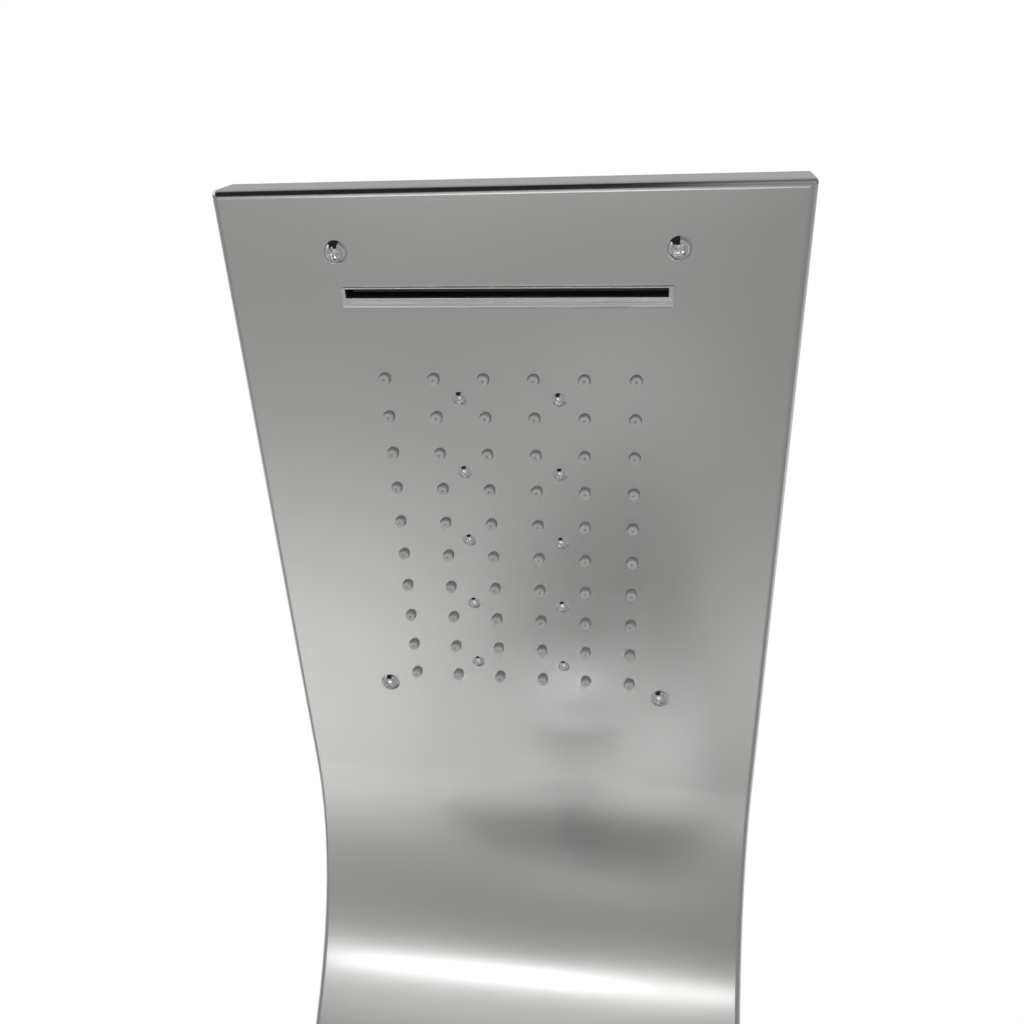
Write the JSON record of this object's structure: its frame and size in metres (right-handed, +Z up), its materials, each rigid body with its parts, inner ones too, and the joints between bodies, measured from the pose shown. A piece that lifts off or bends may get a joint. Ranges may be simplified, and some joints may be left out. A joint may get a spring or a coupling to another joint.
{
  "type": "rainfall shower column",
  "caption": "Wall-hung curved stainless steel shower column with a rain and waterfall head, body jets, mixer, diverter, hand shower and tub spout.",
  "frame": {"origin": "middle of the upper wall bracket's screw pattern, on the wall face", "axes": "+Z up, +Y into the wall, -Y towards the user, +X to the right for someone who faces the wall"},
  "size_m": [0.22, 0.4349, 1.5016],
  "materials": {
    "satin_steel": "satin polished stainless sheet with soft reflections",
    "bracket_steel": "mill-finish stainless steel",
    "chrome": "bright polished plating",
    "grey_silicone": "matt light grey silicone",
    "white_plastic": "moulded, fine satin",
    "black_plastic": "moulded, satin",
    "brass": "machined brass, slightly dulled",
    "braided_hose": "braided stainless steel wire over a rubber tube"
  },
  "bodies": {
    "column": {"front_panel": "satin_steel", "head_rear_cover": "satin_steel", "upper_wall_bracket": "bracket_steel", "upper_hanger": "bracket_steel", "lower_wall_bracket": "bracket_steel", "rain_nozzles": "grey_silicone", "rain_chamber": "white_plastic", "waterfall_chamber": "white_plastic", "chamber_screws": "chrome", "head_screws": "chrome", "head_cap_nuts": "chrome", "foot_screws": "chrome", "head_spacers": "bracket_steel", "waterfall_spout": "chrome", "hose_ferrules": "bracket_steel", "diverter_body": "brass", "mixer_body": "brass", "diverter_nut": "brass", "mixer_nut": "brass", "diverter_cartridge": "black_plastic", "mixer_cartridge": "black_plastic", "diverter_escutcheon": "chrome", "mixer_escutcheon": "chrome", "hand_shower_holder": "chrome", "holder_nut": "brass", "hose_outlet": "chrome", "hose_outlet_nut": "brass", "tub_spout": "chrome", "tub_spout_nut": "brass", "tub_spout_aerator": "black_plastic", "rain_hose": "braided_hose", "waterfall_hose": "braided_hose", "jet_supply_hose": "braided_hose", "mixer_link_hose": "braided_hose", "hand_shower_hose": "braided_hose", "tub_spout_hose": "braided_hose", "jet_link_hoses": "braided_hose", "jet_1_barrel": "brass", "jet_1_ring": "chrome", "jet_1_nut": "brass", "jet_2_barrel": "brass", "jet_2_ring": "chrome", "jet_2_nut": "brass", "jet_3_barrel": "brass", "jet_3_ring": "chrome", "jet_3_nut": "brass"},
    "mixer_turret": {"mixer_turret": "white_plastic", "mixer_pivot_pin": "bracket_steel"},
    "mixer_lever": {"mixer_handle": "chrome"},
    "diverter_knob": {"diverter_knob": "chrome", "diverter_spindle": "brass", "diverter_knob_cap": "chrome"},
    "jet_1_ball": {"jet_1_ball": "chrome"},
    "jet_2_ball": {"jet_2_ball": "chrome"},
    "jet_3_ball": {"jet_3_ball": "chrome"},
    "hand_shower": {"hand_shower": "chrome"}
  },
  "joints": [
    {"name": "mixer_temperature", "type": "hinge", "parent": "column", "child": "mixer_turret", "pos_m": [0, -0.06204, -0.72325], "axis": [0, -0.9945, -0.1045], "range_deg": [-45, 45]},
    {"name": "mixer_flow", "type": "hinge", "parent": "mixer_turret", "child": "mixer_lever", "pos_m": [0, -0.06204, -0.72325], "axis": [-1, 0, 0], "range_deg": [0, 20]},
    {"name": "diverter_turn", "type": "hinge", "parent": "column", "child": "diverter_knob", "pos_m": [0, -0.06678, -0.57293], "axis": [0, -0.9945, -0.1045], "range_deg": [-144, 144]},
    {"name": "jet_1_tilt", "type": "hinge", "parent": "column", "child": "jet_1_ball", "pos_m": [0, -0.04505, -0.08515], "axis": [1, 0, 0], "range_deg": [-15, 15]},
    {"name": "jet_2_tilt", "type": "hinge", "parent": "column", "child": "jet_2_ball", "pos_m": [0, -0.05655, -0.19455], "axis": [1, 0, 0], "range_deg": [-15, 15]},
    {"name": "jet_3_tilt", "type": "hinge", "parent": "column", "child": "jet_3_ball", "pos_m": [0, -0.06805, -0.30395], "axis": [1, 0, 0], "range_deg": [-15, 15]},
    {"name": "hand_shower_lift", "type": "slide", "parent": "column", "child": "hand_shower", "axis": [0, -0.1045, 0.9945], "range_m": [0, 0.12]}
  ]
}
